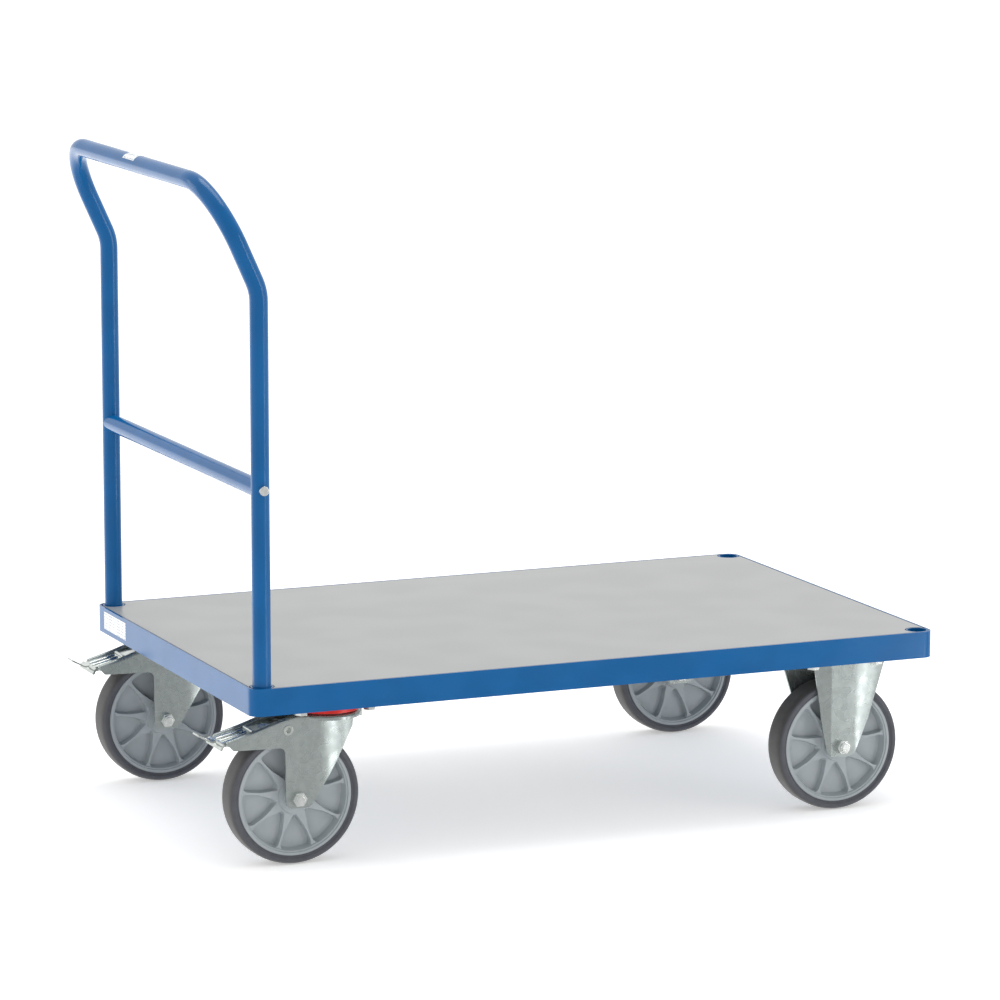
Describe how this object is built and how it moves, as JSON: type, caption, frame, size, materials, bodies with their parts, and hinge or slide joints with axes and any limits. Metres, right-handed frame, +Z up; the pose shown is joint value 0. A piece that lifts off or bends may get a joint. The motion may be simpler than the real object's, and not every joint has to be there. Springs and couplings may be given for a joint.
{
  "type": "platform trolley",
  "caption": "Platform trolley: a blue steel frame with a grey laminate deck, a bent tube push handle, fixed castors in front and braked swivel castors at the handle end.",
  "frame": {"origin": "on the floor under the middle of the overall length, width and height box", "axes": "+X from the handle to the front end, +Y to the left of someone who pushes, +Z up"},
  "size_m": [1.157, 0.7, 1.0066],
  "materials": {
    "blue_powder_coat": "gloss powder coat",
    "grey_laminate_board": "laminate faced board, satin gloss",
    "grey_tyre_rubber": "moulded grey elastomer",
    "grey_rim_plastic": "injection moulded",
    "bearing_cage_plastic": "moulded",
    "red_ring_plastic": "moulded",
    "white_label_film": "printed film",
    "hardened_steel": "ground",
    "zinc_plated_sheet": "zinc plated sheet",
    "bright_zinc_steel": "bright zinc plated",
    "plug_plastic": "moulded",
    "zinc_plated_fasteners": "bright zinc plated"
  },
  "bodies": {
    "wheel_front_left": {"bearing_front_left": "bearing_cage_plastic", "rim_front_left": "grey_rim_plastic", "tyre_front_left": "grey_tyre_rubber"},
    "wheel_front_right": {"bearing_front_right": "bearing_cage_plastic", "rim_front_right": "grey_rim_plastic", "tyre_front_right": "grey_tyre_rubber"},
    "wheel_rear_left": {"bearing_rear_left": "bearing_cage_plastic", "rim_rear_left": "grey_rim_plastic", "tyre_rear_left": "grey_tyre_rubber"},
    "wheel_rear_right": {"bearing_rear_right": "bearing_cage_plastic", "rim_rear_right": "grey_rim_plastic", "tyre_rear_right": "grey_tyre_rubber"},
    "pedal_left": {"brake_pedal_left": "bright_zinc_steel", "brake_shoe_left": "bright_zinc_steel"},
    "pedal_right": {"brake_pedal_right": "bright_zinc_steel", "brake_shoe_right": "bright_zinc_steel"},
    "swivel_left": {"brake_rivets_left": "bright_zinc_steel", "swivel_axle_bolt_left": "zinc_plated_fasteners", "swivel_axle_nut_left": "zinc_plated_fasteners", "swivel_axle_sleeve_left": "zinc_plated_fasteners", "swivel_fork_left": "zinc_plated_sheet"},
    "swivel_right": {"brake_rivets_right": "bright_zinc_steel", "swivel_axle_bolt_right": "zinc_plated_fasteners", "swivel_axle_nut_right": "zinc_plated_fasteners", "swivel_axle_sleeve_right": "zinc_plated_fasteners", "swivel_fork_right": "zinc_plated_sheet"},
    "platform": {"castor_nuts": "zinc_plated_fasteners", "castor_plate_left": "zinc_plated_sheet", "castor_plate_right": "zinc_plated_sheet", "castor_screws": "zinc_plated_fasteners", "crossbar_bolts": "zinc_plated_fasteners", "crossbar_plugs": "plug_plastic", "deck_board": "grey_laminate_board", "deck_screws": "zinc_plated_fasteners", "dust_ring_left": "red_ring_plastic", "dust_ring_right": "red_ring_plastic", "end_rail_front": "blue_powder_coat", "end_rail_rear": "blue_powder_coat", "fixed_axle_bolts": "zinc_plated_fasteners", "fixed_axle_nuts": "zinc_plated_fasteners", "fixed_axle_sleeves": "zinc_plated_fasteners", "fixed_fork_left": "zinc_plated_sheet", "fixed_fork_right": "zinc_plated_sheet", "front_channel_inner": "blue_powder_coat", "front_channel_outer": "blue_powder_coat", "front_socket_left": "blue_powder_coat", "front_socket_right": "blue_powder_coat", "handle_crossbar": "blue_powder_coat", "handle_label": "white_label_film", "handle_lock_screws": "zinc_plated_fasteners", "handle_tube": "blue_powder_coat", "king_pins": "hardened_steel", "rating_label": "white_label_film", "rear_channel_inner": "blue_powder_coat", "rear_channel_outer": "blue_powder_coat", "rear_socket_left": "blue_powder_coat", "rear_socket_right": "blue_powder_coat", "side_rail_left": "blue_powder_coat", "side_rail_right": "blue_powder_coat", "swivel_balls": "hardened_steel"}
  },
  "joints": [
    {"name": "swivel_turn_right", "type": "hinge", "parent": "platform", "child": "swivel_right", "pos_m": [-0.3815, -0.288, 0.2], "axis": [0, 0, 1], "continuous": true},
    {"name": "brake_press_right", "type": "hinge", "parent": "swivel_right", "child": "pedal_right", "pos_m": [-0.4519, -0.288, 0.202], "axis": [0, -1, 0], "range_deg": [0, 10]},
    {"name": "rear_wheel_spin_right", "type": "hinge", "parent": "swivel_right", "child": "wheel_rear_right", "pos_m": [-0.4375, -0.288, 0.1], "axis": [0, 1, 0], "continuous": true},
    {"name": "front_wheel_spin_right", "type": "hinge", "parent": "platform", "child": "wheel_front_right", "pos_m": [0.4385, -0.288, 0.1], "axis": [0, 1, 0], "continuous": true},
    {"name": "swivel_turn_left", "type": "hinge", "parent": "platform", "child": "swivel_left", "pos_m": [-0.3815, 0.288, 0.2], "axis": [0, 0, 1], "continuous": true},
    {"name": "brake_press_left", "type": "hinge", "parent": "swivel_left", "child": "pedal_left", "pos_m": [-0.4519, 0.288, 0.202], "axis": [0, -1, 0], "range_deg": [0, 10]},
    {"name": "rear_wheel_spin_left", "type": "hinge", "parent": "swivel_left", "child": "wheel_rear_left", "pos_m": [-0.4375, 0.288, 0.1], "axis": [0, 1, 0], "continuous": true},
    {"name": "front_wheel_spin_left", "type": "hinge", "parent": "platform", "child": "wheel_front_left", "pos_m": [0.4385, 0.288, 0.1], "axis": [0, 1, 0], "continuous": true}
  ]
}
